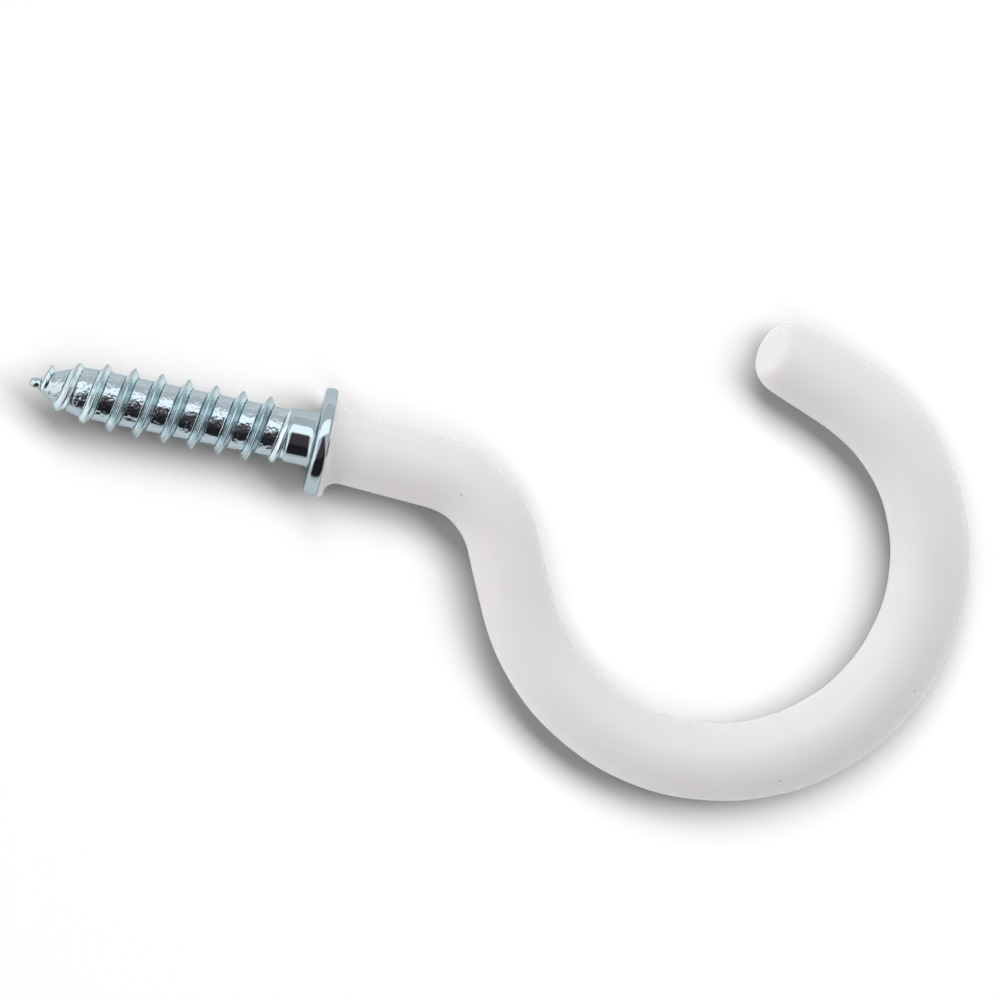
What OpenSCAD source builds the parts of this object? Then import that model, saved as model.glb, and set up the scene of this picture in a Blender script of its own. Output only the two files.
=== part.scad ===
// Coated screw hook: a plated steel hook, cold formed from one wire, with a wood
// screw and a collar at one end, and a dipped plastic coating from the collar to
// the tip.
//
// Frame: the origin is the centre of the collar's seat, the face that meets the
// wood. +X runs along the screw axis, out of the wood, so the screw lies at -X.
// The hook bends in the XY plane, its mouth faces +Y, and +Z is up when it lies
// flat.

/* [Screw] */
// Length of the screw from the seat to the tip
screw_len = 16.6; // [10:0.1:30]
// Length of plain shank under the collar
plain_len = 1.8; // [1:0.1:6]
// Distance between two turns of the thread
pitch = 1.58; // [1.2:0.02:2.4]
// Height of the thread above its root
thread_h = 0.52; // [0.3:0.02:0.8]
// How far the rolled root lies below the plain shank
root_drop = 0.16; // [0.05:0.01:0.3]
// Length of the pointed end
point_len = 3.4; // [2:0.1:6]
// Which way the thread turns
thread_hand = "left"; // [right, left]

/* [Collar] */
// Diameter of the collar
collar_d = 6.3; // [5:0.1:10]
// Thickness of the collar
collar_t = 0.75; // [0.65:0.05:1.5]
// Rounding of the collar's rim
rim_r = 0.26; // [0.05:0.01:0.3]
// Rounding where the plain shank meets the collar's seat
shank_fillet = 0.34; // [0.1:0.02:0.5]

/* [Wire] */
// Diameter of the wire, and of the plain shank
wire_d = 3.2; // [2.4:0.1:4]
// How far the stem leans off the screw axis, in degrees
stem_lean = 3.2; // [1:0.2:6]
// Length of the straight stem between the collar and the first bend
stem_len = 6.5; // [4:0.1:15]
// Radius of the first bend, at the middle of the wire
bend_r = 5.5; // [3.5:0.1:10]
// Angle of the first bend
bend_angle = 62.2; // [40:0.2:80]
// Length of the straight between the first bend and the loop
neck_len = 3.3; // [1:0.1:10]
// Radius of the loop, at the middle of the wire
loop_r = 12; // [8:0.1:25]
// Angle of the loop
loop_angle = 169; // [150:1:190]
// Radius of the loop's tighter end
tip_r = 10.8; // [8:0.1:25]
// Angle of the loop's tighter end
tip_angle = 55; // [30:1:70]
// Length of the straight end
end_len = 3.5; // [1:0.1:8]

/* [Coating] */
// Thickness of the coating on the stem
stem_wall = 0.48; // [0.3:0.02:1]
// Thickness of the coating on the loop
loop_wall = 0.65; // [0.3:0.02:1.2]
// Thickness of the coating over the cut end of the wire
nose_wall = 1.0; // [0.7:0.05:1.5]
// Length of the flare where the coating meets the collar
flare_len = 1.65; // [0.8:0.05:3]
// Thickness of the coating at the collar's rim
lip_t = 0.26; // [0.22:0.02:0.6]
// How far the coating stops short of the collar's rim
lip_inset = 0.05; // [0:0.01:0.3]

/* [Hidden] */

ROUND_FN = 96;

shank_r = wire_d / 2;
root_r = shank_r - root_drop;

// Joints along the wire: a straight is a hair thicker than the bends it meets and
// laps over their ends, so that each bend's flat end lies inside it.
hair = 0.01;
lap = 0.1;

// Inside the collar, the shank stops and the stem sets off at its lean
shank_sunk = 0.05;
lean_start = 0.15;
lean_r = 8;

// The cut end of the wire, chamfered, inside the coating's round nose
nose_r = shank_r + loop_wall;
core_past = nose_r - nose_wall;
core_chamfer = 0.65;

// Thread: widths are shares of the pitch, measured from the crest's middle
crest_half = 0.045;
flank_half = 0.28;
flank_curve = 1.35;
flank_steps = 3;
root_steps = 6;
rings_per_turn = 20;
// How far the thread's root runs on inside the plain shank
root_sunk = 0.3;
// Height of the ridge at the tip, as a share of its full height
point_ridge = 0.7;
// Lengths over which the ridge rises at the tip, and fades out at the shank
ridge_rise = 0.9;
ridge_fade = 1.2;
// Radius of the blunt point
tip_flat_r = 0.07;
// Roundness of the point: 1 is a cone
point_curve = 1.6;
// Angle of the crest at the tip, from +Y about the screw axis, the way the thread turns
thread_start = 120;

// The flare's half section: how far it starts below the stem's start, and its steps
flare_sunk = 0.6;
flare_steps = 10;

// ---- Path of the wire, as moves from one stretch to the next ----

module after_straight(len) translate([len, 0, 0]) children();

module after_bend(r, angle)
    translate([0, sign(angle) * r, 0]) rotate([0, 0, angle])
        translate([0, -sign(angle) * r, 0]) children();

module straight(len, d_start, d_end)
    translate([-lap, 0, 0]) rotate([0, 90, 0])
        cylinder(h = len + 2 * lap, r1 = d_start / 2 + hair, r2 = d_end / 2 + hair,
            $fn = ROUND_FN);

// A bend turns left when its angle is positive, and rolls over to turn right when
// it is negative. It may start early, by an angle, inside the bend before it.
module bend(r, angle, d, early = 0)
    rotate([angle < 0 ? 180 : 0, 0, 0])
        translate([0, r, 0]) rotate([0, 0, -90 - early])
            rotate_extrude(angle = abs(angle) + early, $fn = ROUND_FN)
                translate([r, 0]) circle(d = d);

// Places its children where the straight stem starts, leaning off the screw axis
module on_stem() after_straight(lean_start) after_bend(lean_r, -stem_lean) children();

// The bent rod from the collar to the end of the straight tip. Its children are
// placed at its end, with +X pointing along the wire.
module bent_rod(stem_d, loop_d) {
    after_straight(lean_start) bend(lean_r, -stem_lean, stem_d);
    on_stem() {
        straight(stem_len, stem_d, stem_d);
        after_straight(stem_len) {
            bend(bend_r, -bend_angle, stem_d);
            after_bend(bend_r, -bend_angle) {
                straight(neck_len, stem_d, loop_d);
                after_straight(neck_len) rod_loop(loop_d) children();
            }
        }
    }
}

module rod_loop(loop_d) {
    bend(loop_r, loop_angle, loop_d);
    after_bend(loop_r, loop_angle) {
        bend(tip_r, tip_angle, loop_d - 2 * hair, early = lap);
        after_bend(tip_r, tip_angle) {
            straight(end_len, loop_d, loop_d);
            after_straight(end_len) children();
        }
    }
}

// ---- Screw thread ----

// Radius of the root at a distance from the tip
function root_at(from_tip) =
    max(tip_flat_r, root_r * (1 - pow(1 - min(1, from_tip / point_len), point_curve)));

// Height of the ridge at a distance from the tip
function ridge_at(from_tip) =
    let (rise = min(1, from_tip / ridge_rise),
         growth = point_ridge + (1 - point_ridge) * min(1, from_tip / (2 * point_len)),
         left = screw_len - plain_len - from_tip,
         fade = sqrt(min(1, max(0, left / ridge_fade))))
    thread_h * rise * growth * fade;

// Section of the ridge: 1 at the crest, 0 on the root, with hollow flanks
function ridge_shape(share) =
    abs(share) <= crest_half ? 1
    : pow(max(0, (flank_half - abs(share)) / (flank_half - crest_half)), flank_curve);

// Places round the screw, as shares of a turn from the crest: closer on the flanks
function ring_shares() = concat(
    [for (i = [0 : flank_steps]) -flank_half + (flank_half - crest_half) * i / flank_steps],
    [for (i = [0 : flank_steps]) crest_half + (flank_half - crest_half) * i / flank_steps],
    [for (i = [1 : root_steps - 1]) flank_half + (1 - 2 * flank_half) * i / root_steps]);

function ring(from_tip, shares, turn) =
    [for (share = shares)
        let (radius = root_at(from_tip) + ridge_at(from_tip) * ridge_shape(share),
             angle = turn * (thread_start + 360 * from_tip / pitch) + 360 * share)
        [from_tip - screw_len, radius * cos(angle), radius * sin(angle)]];

module thread() {
    shares = ring_shares();
    sides = len(shares);
    turn = thread_hand == "left" ? -1 : 1;
    length = screw_len - plain_len + root_sunk;
    rings = ceil(length / pitch * rings_per_turn);
    points = [for (i = [0 : rings]) each ring(length * i / rings, shares, turn)];
    // Each four-cornered face is split along its shorter diagonal, which the hand decides
    walls = [for (i = [0 : rings - 1], j = [0 : sides - 1])
        let (a = i * sides + j, b = i * sides + (j + 1) % sides)
        each turn < 0
            ? [[a, a + sides, b + sides], [a, b + sides, b]]
            : [[a, a + sides, b], [b, a + sides, b + sides]]];
    point_end = [for (j = [0 : sides - 1]) j];
    shank_end = [for (j = [sides - 1 : -1 : 0]) rings * sides + j];
    polyhedron(points = points, faces = concat(walls, [point_end, shank_end]));
}

// ---- Steel ----

// Half section of the collar, with its rounded rim
module collar_section() {
    square([collar_d / 2 - rim_r, collar_t]);
    translate([0, rim_r]) square([collar_d / 2, collar_t - 2 * rim_r]);
    translate([collar_d / 2 - rim_r, rim_r]) circle(r = rim_r);
    translate([collar_d / 2 - rim_r, collar_t - rim_r]) circle(r = rim_r);
}

// Half section of the plain shank, which opens out into the collar
module shank_section() {
    translate([0, -plain_len]) square([shank_r, plain_len + shank_sunk]);
    difference() {
        translate([0, -shank_fillet]) square([shank_r + shank_fillet, shank_fillet + shank_sunk]);
        translate([shank_r + shank_fillet, -shank_fillet]) circle(r = shank_fillet);
    }
}

module shank_and_collar() {
    rotate([0, 90, 0]) rotate_extrude($fn = ROUND_FN) {
        shank_section();
        collar_section();
    }
}

// The wire runs on into the coating's nose, where its cut end is chamfered
module wire_end() {
    rotate([0, 90, 0]) {
        cylinder(h = core_past - core_chamfer, r = shank_r, $fn = ROUND_FN);
        translate([0, 0, core_past - core_chamfer])
            cylinder(h = core_chamfer, r1 = shank_r, r2 = shank_r - core_chamfer,
                $fn = ROUND_FN);
    }
}

module steel_hook() {
    color([0.74, 0.78, 0.80]) {
        thread();
        shank_and_collar();
        bent_rod(wire_d, wire_d) wire_end();
    }
}

// ---- Coating ----

// Half section of the flare: a quarter of an ellipse from the lip to the stem
module flare_section() {
    stem_r = shank_r + stem_wall;
    lip_r = collar_d / 2 - lip_inset;
    lip_x = collar_t + lip_t - lean_start - lean_r * sin(stem_lean);
    sweep = [for (i = [0 : flare_steps])
        let (angle = 90 * i / flare_steps)
        [lip_r - (lip_r - stem_r) * sin(angle), lip_x + flare_len * (1 - cos(angle))]];
    polygon(concat([[0, -flare_sunk], [lip_r, -flare_sunk]], sweep,
        [[0, lip_x + flare_len]]));
}

module flare() {
    on_stem() rotate([0, 90, 0]) rotate_extrude($fn = ROUND_FN) flare_section();
}

// Everything on the wood side of the collar's hook face
module collar_side() {
    depth = collar_d;
    translate([collar_t - depth, -depth, -depth]) cube([depth, 2 * depth, 2 * depth]);
}

module nose() rotate([0, 90, 0]) sphere(r = nose_r, $fn = ROUND_FN);

module vinyl_coating() {
    stem_d = wire_d + 2 * stem_wall;
    loop_d = wire_d + 2 * loop_wall;
    color([0.90, 0.89, 0.90]) difference() {
        union() {
            flare();
            bent_rod(stem_d, loop_d) nose();
        }
        collar_side();
        bent_rod(wire_d, wire_d) wire_end();
    }
}

steel_hook();
vinyl_coating();
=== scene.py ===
"""Dresses a coated screw hook: a zinc plated steel hook under a dipped white vinyl coating.

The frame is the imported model's: metres, +X along the screw out of the wood, +Y towards
the hook's mouth, +Z up when the hook lies on its side. Sizes in the classes below are in
millimetres, and MM turns them into metres as each mesh is made.
"""

import logging
from collections.abc import Sequence
from dataclasses import dataclass, field
from enum import Enum

import bpy
import numpy as np
from mathutils import Matrix, Vector


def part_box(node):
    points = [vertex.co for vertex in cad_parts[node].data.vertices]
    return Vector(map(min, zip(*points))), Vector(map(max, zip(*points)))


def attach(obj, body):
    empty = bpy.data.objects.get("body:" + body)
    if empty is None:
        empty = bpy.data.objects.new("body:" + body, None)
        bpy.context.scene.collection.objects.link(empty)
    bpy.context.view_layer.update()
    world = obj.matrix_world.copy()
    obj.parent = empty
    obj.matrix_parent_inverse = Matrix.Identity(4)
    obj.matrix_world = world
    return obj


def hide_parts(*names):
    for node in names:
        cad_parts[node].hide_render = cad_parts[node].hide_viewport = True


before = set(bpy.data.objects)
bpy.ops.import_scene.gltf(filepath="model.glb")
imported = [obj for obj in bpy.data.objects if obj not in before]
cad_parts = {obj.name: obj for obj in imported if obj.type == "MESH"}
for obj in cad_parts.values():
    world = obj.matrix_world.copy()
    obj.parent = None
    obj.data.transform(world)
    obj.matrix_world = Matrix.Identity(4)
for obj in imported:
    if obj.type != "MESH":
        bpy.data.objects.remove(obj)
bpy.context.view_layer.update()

MM = 0.001
QUARTER = np.pi / 2.0
NUMBER = "NodeSocketFloat"
STRAIGHT = 1e-9
log = logging.getLogger("screw_hook")

Pair = tuple[float, float]
Triple = tuple[float, float, float]
Colour = tuple[float, float, float, float]


class ThreadHand(Enum):
    """Which way the screw thread turns about +X."""

    RIGHT = 1.0
    LEFT = -1.0


def smooth_step(value: np.ndarray, low: float, high: float) -> np.ndarray:
    """Eases from 0 at low to 1 at high: 3t^2 - 2t^3, where t is the share of the way, in 0..1."""
    share = np.clip((value - low) / (high - low), 0.0, 1.0)
    return share * share * (3.0 - 2.0 * share)


def steps(corners: Sequence[float], counts: Sequence[int]) -> np.ndarray:
    """Spaces even steps between each corner and the next, and meets each corner once.

    Args:
        corners: The numbers to pass through.
        counts: How many steps lie between each of them and the next.

    Returns:
        The first corner and the number after each step.
    """
    gaps = zip(corners[:-1], corners[1:], counts)
    runs = [np.linspace(low, high, count, endpoint=False) for low, high, count in gaps]
    return np.concatenate([*runs, [corners[-1]]])


def section(x: np.ndarray | float, radius: np.ndarray | float) -> np.ndarray:
    """Pairs each X with its radius, as the points of a half section."""
    return np.stack(np.broadcast_arrays(x, radius), axis=-1)


# ---- Meshes ----


def grid_mesh(name: str, rings: np.ndarray, poles: tuple[np.ndarray, np.ndarray]) -> bpy.types.Mesh:
    """Joins rings of points into one closed surface, with a fan of triangles at each pole.

    Ring i's point j is joined to ring i + 1's point j, and the last point of a ring to its
    first. The rings run so that the faces look outwards.

    Args:
        name: The mesh's name.
        rings: Points in millimetres, as an array of rings, points and three coordinates.
        poles: The points that close the first and the last ring.

    Returns:
        The mesh, in metres, shaded smooth.
    """
    count, sides = rings.shape[:2]
    points = np.concatenate([rings.reshape(-1, 3), np.stack(poles)]) * MM
    around = np.arange(sides)
    after = (around + 1) % sides
    ring_starts = np.arange(count - 1)[:, None] * sides
    here, beside = ring_starts + around, ring_starts + after
    quads = np.stack([here, here + sides, beside + sides, beside], axis=-1).reshape(-1, 4)
    first, last, end_ring = count * sides, count * sides + 1, (count - 1) * sides
    start_fan = np.stack([np.full(sides, first), around, after], axis=-1)
    end_fan = np.stack([np.full(sides, last), end_ring + after, end_ring + around], axis=-1)
    faces = quads.tolist() + start_fan.tolist() + end_fan.tolist()
    mesh = bpy.data.meshes.new(name)
    mesh.from_pydata(points.tolist(), [], faces)
    mesh.shade_smooth()
    mesh.update()
    return mesh


def add_numbers(mesh: bpy.types.Mesh, name: str, rings: np.ndarray, ends: Pair) -> None:
    """Stores one number for each point of a grid mesh.

    Args:
        mesh: A mesh that grid_mesh made.
        name: The attribute's name.
        rings: The numbers, as an array of rings and points.
        ends: The numbers of the two poles.
    """
    values = np.concatenate([rings.ravel(), ends]).astype(np.float32)
    attribute = mesh.attributes.new(name, "FLOAT", "POINT")
    attribute.data.foreach_set("value", values)


def add_piece(name: str, mesh: bpy.types.Mesh, node: str) -> bpy.types.Object:
    """Puts a mesh into the scene in place of a CAD node.

    Args:
        name: The piece's name.
        mesh: The finished mesh, in the frame's own place.
        node: The CAD node that it stands for.

    Returns:
        The piece, riding on the one body.
    """
    piece = bpy.data.objects.new(name, mesh)
    bpy.context.scene.collection.objects.link(piece)
    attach(piece, "root")
    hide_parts(node)
    low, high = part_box(node)
    made_low, made_high = np.array(piece.bound_box).min(0), np.array(piece.bound_box).max(0)
    off = max(np.abs(made_low - low).max(), np.abs(made_high - high).max()) / MM
    log.info("%s: %d faces, box within %.2f mm of %s", name, len(mesh.polygons), off, node)
    return piece


# ---- The wire's path ----


@dataclass(frozen=True)
class Stretch:
    """One stretch of the wire: straight where turn is 0, else an arc that turns by it.

    Attributes:
        length: Length along the middle of the wire.
        turn: How far it turns, in degrees, left when positive.
    """

    length: float
    turn: float = 0.0

    @classmethod
    def arc(cls, radius: float, turn: float) -> "Stretch":
        """Makes an arc from its radius at the middle of the wire and its turn in degrees."""
        return cls(radius * np.radians(abs(turn)), turn)


@dataclass(frozen=True)
class WirePath:
    """The middle of the wire, from the centre of the collar's seat to the last bend's end.

    Attributes:
        stretches: The straights and arcs, in order. The last one runs on without end.
    """

    stretches: tuple[Stretch, ...]

    @property
    def length(self) -> float:
        """Returns the whole length of the path."""
        return sum(stretch.length for stretch in self.stretches)

    def at(self, along: np.ndarray) -> tuple[np.ndarray, np.ndarray]:
        """Finds the middle of the wire and its heading.

        The heading grows by the stretch's curvature for each millimetre, and the place
        moves by the integral of its cosine and sine. A straight is an arc with the slight
        curvature STRAIGHT.

        Args:
            along: Distances along the path.

        Returns:
            X and Y in an array that ends in 2, and the heading in radians.
        """
        lengths = np.array([stretch.length for stretch in self.stretches])
        turns = np.radians([stretch.turn for stretch in self.stretches])
        curvature = np.where(turns == 0.0, STRAIGHT, turns / lengths)
        starts = np.concatenate([[0.0], np.cumsum(lengths)])
        headings = np.concatenate([[0.0], np.cumsum(curvature * lengths)])
        moves = np.stack([np.diff(np.sin(headings)), -np.diff(np.cos(headings))], axis=-1)
        places = np.concatenate([[[0.0, 0.0]], np.cumsum(moves / curvature[:, None], axis=0)])
        index = np.clip(np.searchsorted(starts, along, side="right") - 1, 0, len(lengths) - 1)
        bend = curvature[index]
        heading = headings[index] + bend * (along - starts[index])
        step_x = (np.sin(heading) - np.sin(headings[index])) / bend
        step_y = (np.cos(headings[index]) - np.cos(heading)) / bend
        return places[index] + np.stack([step_x, step_y], axis=-1), heading

    def rings(
        self, along: np.ndarray, radius: np.ndarray, angle: np.ndarray, tilt: np.ndarray | float = 0.0
    ) -> np.ndarray:
        """Carries rings along the path.

        A ring's point lies at the middle of the wire, plus its radius times the cosine of
        its angle along the wire's left side, plus its radius times the sine along +Z.

        Args:
            along: The distance along the path of each ring, or of each point of it.
            radius: The radius at each point.
            angle: The angle at each point, in radians, from the wire's left side to +Z.
            tilt: How far each ring is turned back from square to the wire, in radians.

        Returns:
            The points, as an array of rings, points and three coordinates.
        """
        along, radius, angle = np.broadcast_arrays(along, radius, angle)
        middle, heading = self.at(along)
        facing = heading - tilt
        side = radius * np.cos(angle)
        x = middle[..., 0] - side * np.sin(facing)
        y = middle[..., 1] + side * np.cos(facing)
        return np.stack([x, y, radius * np.sin(angle)], axis=-1)

    def point(self, along: float) -> np.ndarray:
        """Finds the middle of the wire at one distance, as three coordinates."""
        middle, _ = self.at(np.array([along]))
        return np.array([middle[0, 0], middle[0, 1], 0.0])


@dataclass(frozen=True)
class HookShape:
    """The bent wire's sizes, which the steel and the coating share.

    Radii are taken at the middle of the wire, and angles are in degrees.

    Attributes:
        wire_r: Radius of the bare wire.
        collar_r: Radius of the collar.
        collar_t: Thickness of the collar.
        lean: Angle of the stem off the screw's axis.
        lean_start: Where the lean starts, inside the collar.
        lean_r: Radius of the lean's short bend.
        stem_len: Length of the straight stem.
        bend_r: Radius of the first bend.
        bend_turn: Angle of the first bend.
        neck_len: Length of the straight before the loop.
        loop_r: Radius of the loop.
        loop_turn: Angle of the loop.
        tip_r: Radius of the loop's tighter end.
        tip_turn: Angle of that end.
        end_len: Length of the straight end.
        cut_past: How far the cut wire runs on past it, inside the nose.
        cut_chamfer: Chamfer of the cut end.
        foot_len: Length over which the wire's rings turn from the collar's face to the stem.
    """

    wire_r: float = 1.6
    collar_r: float = 3.15
    collar_t: float = 0.75
    lean: float = 3.2
    lean_start: float = 0.15
    lean_r: float = 8.0
    stem_len: float = 6.5
    bend_r: float = 5.5
    bend_turn: float = 62.2
    neck_len: float = 3.3
    loop_r: float = 12.0
    loop_turn: float = 169.0
    tip_r: float = 10.8
    tip_turn: float = 55.0
    end_len: float = 3.5
    cut_past: float = 0.7
    cut_chamfer: float = 0.65
    foot_len: float = 0.3

    @property
    def foot(self) -> float:
        """Returns how far along the path the rings are square to the stem."""
        return self.collar_t + self.foot_len

    @property
    def cut_end(self) -> float:
        """Returns how far along the path the wire's cut end lies."""
        return self.path.length + self.cut_past

    def wire_radius(self, along: np.ndarray) -> np.ndarray:
        """Works out the wire's radius, which is less by each millimetre past the chamfer's foot."""
        return self.wire_r - np.clip(along - self.cut_end + self.cut_chamfer, 0.0, None)

    @property
    def path(self) -> WirePath:
        """Lays out the middle of the wire.

        Returns:
            The path from the collar's seat to the end of the straight end.
        """
        return WirePath(
            (
                Stretch(self.lean_start),
                Stretch.arc(self.lean_r, -self.lean),
                Stretch(self.stem_len),
                Stretch.arc(self.bend_r, -self.bend_turn),
                Stretch(self.neck_len),
                Stretch.arc(self.loop_r, self.loop_turn),
                Stretch.arc(self.tip_r, self.tip_turn),
                Stretch(self.end_len),
            )
        )


# ---- Shader nodes ----


@dataclass
class Shader:
    """A node tree with short ways to add and join nodes.

    Attributes:
        tree: The material's, world's or group's node tree.
    """

    tree: bpy.types.NodeTree

    def node(self, kind: str, *values: object, **settings: object) -> bpy.types.Node:
        """Adds a node.

        Args:
            kind: The node's type, without its ShaderNode prefix.
            values: What its first inputs are set or joined to, in order.
            settings: The node's own settings, by name.

        Returns:
            The new node.
        """
        made = self.tree.nodes.new("ShaderNode" + kind)
        for name, value in settings.items():
            setattr(made, name, value)
        for socket, value in zip(made.inputs, values):
            self.put(socket, value)
        return made

    def put(self, socket: bpy.types.NodeSocket, value: object) -> None:
        """Sets an input to a plain value, or joins another node's output to it.

        Args:
            socket: The input.
            value: The plain value or the output.
        """
        if isinstance(value, bpy.types.NodeSocket):
            self.tree.links.new(value, socket)
        else:
            socket.default_value = value

    def fill(self, inputs: bpy.types.NodeInputs, values: dict[str, object]) -> None:
        """Sets or joins several inputs of a node by their names."""
        for name, value in values.items():
            self.put(inputs[name], value)

    def math(self, operation: str, *values: object) -> bpy.types.NodeSocket:
        """Adds a Math node on the given numbers or outputs, and returns its output."""
        return self.node("Math", *values, operation=operation).outputs[0]

    def vector(self, operation: str, *values: object) -> bpy.types.NodeSocket:
        """Adds a Vector Math node on the given vectors or outputs, and returns its number."""
        return self.node("VectorMath", *values, operation=operation).outputs["Value"]

    def mask(self, name: str) -> bpy.types.NodeSocket:
        """Adds a reader of one of the mesh's own numbers, and returns its value."""
        return self.node("Attribute", attribute_name=name).outputs["Fac"]

    def near(self, place: Triple, outer: float, inner: float) -> bpy.types.NodeSocket:
        """Adds a mask that is 1 round a place on the piece and eases to 0 away from it.

        Args:
            place: The place, in millimetres.
            outer: The distance at which the mask reaches 0, in millimetres.
            inner: The distance within which it is 1.

        Returns:
            The mask, from the distance in Object coordinates.
        """
        here = self.node("TexCoord").outputs["Object"]
        away = self.vector("DISTANCE", here, tuple(value * MM for value in place))
        return self.ramp(away, outer * MM, inner * MM)

    def mix(self, share: object, first: object, second: object) -> bpy.types.NodeSocket:
        """Mixes two colours.

        Args:
            share: How far the mix is the second colour, from 0 to 1.
            first: The first colour.
            second: The second colour.

        Returns:
            The mixed colour.
        """
        made = self.node("Mix", data_type="RGBA")
        colours = [s for s in made.inputs if s.type == "RGBA"]
        self.put(made.inputs["Factor"], share)
        self.put(colours[0], first)
        self.put(colours[1], second)
        return next(s for s in made.outputs if s.type == "RGBA")

    def ramp(
        self, value: object, low: object, high: object, first: float = 0.0, second: float = 1.0
    ) -> bpy.types.NodeSocket:
        """Eases a number from first to second as value goes from low to high."""
        values = (value, low, high, first, second)
        return self.node("MapRange", *values, interpolation_type="SMOOTHSTEP").outputs[0]

    def noise(self, place: object, scale: object, detail: float) -> bpy.types.NodeSocket:
        """Adds a noise.

        Args:
            place: The coordinates that it is read at.
            scale: How many waves it has in a metre.
            detail: How many finer noises it is made rough with.

        Returns:
            Its value, from 0 to 1.
        """
        made = self.node("TexNoise")
        self.fill(made.inputs, {"Vector": place, "Scale": scale, "Detail": detail})
        return made.outputs["Fac"]

    def bump(self, height: object, depth: float, strength: float) -> bpy.types.NodeSocket:
        """Adds a bump.

        Args:
            height: The surface's height, from 0 to 1.
            depth: The depth that a height of 1 stands for, in millimetres.
            strength: How much of the bump shows, from 0 to 1.

        Returns:
            The normal.
        """
        made = self.node("Bump")
        self.fill(made.inputs, {"Height": height, "Distance": depth * MM, "Strength": strength})
        return made.outputs["Normal"]


def new_finish(name: str) -> tuple[bpy.types.Material, Shader, bpy.types.NodeInputs]:
    """Makes a material.

    Args:
        name: The material's name.

    Returns:
        The material, a Shader on its nodes, and the inputs of its Principled shader.
    """
    made = bpy.data.materials.new(name)
    made.use_nodes = True
    return made, Shader(made.node_tree), made.node_tree.nodes["Principled BSDF"].inputs


def surface_wander_group() -> bpy.types.NodeTree:
    """Makes the group that keeps a surface from being even, on Object coordinates.

    Cloud is a slow noise, Grain a fine one, and Height is a mix of both for a bump. Both
    finishes use it, each at its own scales.

    Returns:
        The group, whose inputs are both noises' waves a metre and Grain's share of Height.
    """
    group = bpy.data.node_groups.new("surface_wander", "ShaderNodeTree")
    usual = {"Cloud Scale": 200.0, "Grain Scale": 3000.0, "Grain Share": 0.3}
    for label, value in usual.items():
        group.interface.new_socket(label, in_out="INPUT", socket_type=NUMBER).default_value = value
    for label in ("Cloud", "Grain", "Height"):
        group.interface.new_socket(label, in_out="OUTPUT", socket_type=NUMBER)
    shader = Shader(group)
    inputs, outputs = group.nodes.new("NodeGroupInput").outputs, group.nodes.new("NodeGroupOutput").inputs
    place = shader.node("TexCoord").outputs["Object"]
    cloud = shader.noise(place, inputs["Cloud Scale"], 2.0)
    grain = shader.noise(place, inputs["Grain Scale"], 3.0)
    slow = shader.math("MULTIPLY", cloud, shader.math("SUBTRACT", 1.0, inputs["Grain Share"]))
    height = shader.math("MULTIPLY_ADD", grain, inputs["Grain Share"], slow)
    for socket, value in zip(outputs, (cloud, grain, height)):
        shader.put(socket, value)
    return group


@dataclass(frozen=True)
class PlatedSteel:
    """Bright zinc plate on cold formed steel, a little blue, rougher where it was rolled, with a painted
    paler colour on the thread's flanks that stands in for the light they reflect.

    Attributes:
        bright: Colour of the smooth plate.
        flank_painted_light: Painted paler, bluer colour on the thread's flanks, standing in for the light
            they reflect.
        edge: How much of the plate's glare is left where it is seen edge on.
        smooth: Roughness of the shank and the collar.
        rolled: Roughness in the thread.
        brushed: How much rougher the thread's flanks are.
        grainy: How much roughness the grain adds.
        wander: Inputs of surface_wander for the dents that rolling leaves between the ridges.
        dent_depth: Depth of the dents, in millimetres.
        dents_left: Share of the dents' depth that smooth places keep.
        root_end: Height on the ridge at which the dents end, where 1 is the crest.
        root_painted_light: How far the root takes the flanks' painted paler colour.
        flank_start: Height on the ridge at which its flank is in full.
        crest: Heights on the ridge above which it is bright again, and below which it isn't.
    """

    bright: Colour = (0.43, 0.505, 0.545, 1.0)
    # Painted light: the flank colour is paler than the plate's, to stand in for the light the flanks
    # reflect.
    flank_painted_light: Colour = (0.72, 0.85, 0.88, 1.0)
    edge: Colour = (0.7, 0.78, 0.8, 1.0)
    smooth: float = 0.07
    rolled: float = 0.08
    brushed: float = 0.16
    grainy: float = 0.04
    wander: Triple = (2900.0, 7000.0, 0.16)
    dent_depth: float = 0.1
    dents_left: float = 0.01
    root_end: float = 0.22
    # Share of the painted paler flank colour that the roots take.
    root_painted_light: float = 0.08
    flank_start: float = 0.25
    crest: Pair = (0.95, 0.7)

    def material(self, group: bpy.types.NodeTree) -> bpy.types.Material:
        """Builds the material.

        Args:
            group: The surface_wander group.

        Returns:
            A metal whose colour, roughness and bump follow the ridge and rolled numbers; its colour is
            painted paler on the flanks, and a little at the roots, for reflected light.
        """
        made, shader, surface = new_finish("bright_zinc_plate")
        marks = shader.node("Group", *self.wander, node_tree=group).outputs
        ridge = shader.mask("ridge")
        root = shader.math("MULTIPLY", shader.mask("rolled"), shader.ramp(ridge, self.root_end, 0.0))
        off_crest = shader.ramp(ridge, *self.crest)
        flank = shader.math("MULTIPLY", shader.ramp(ridge, 0.0, self.flank_start), off_crest)
        # Share of the painted paler flank colour, which stands in for reflected light on the flanks and a
        # little at the roots.
        painted_light_share = shader.math("MAXIMUM", flank, shader.math("MULTIPLY", root, self.root_painted_light))
        rough = shader.math("MULTIPLY_ADD", root, self.rolled - self.smooth, self.smooth)
        rough = shader.math("MULTIPLY_ADD", flank, self.brushed, rough)
        dented = shader.math("MULTIPLY_ADD", root, 1.0 - self.dents_left, self.dents_left)
        height = shader.math("MULTIPLY", marks["Height"], dented)
        shader.fill(
            surface,
            {
                "Base Color": shader.mix(painted_light_share, self.bright, self.flank_painted_light),
                "Metallic": 1.0,
                "Specular Tint": self.edge,
                "Roughness": shader.math("MULTIPLY_ADD", marks["Grain"], self.grainy, rough),
                "Normal": shader.bump(height, self.dent_depth, 1.0),
            },
        )
        return made


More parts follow.
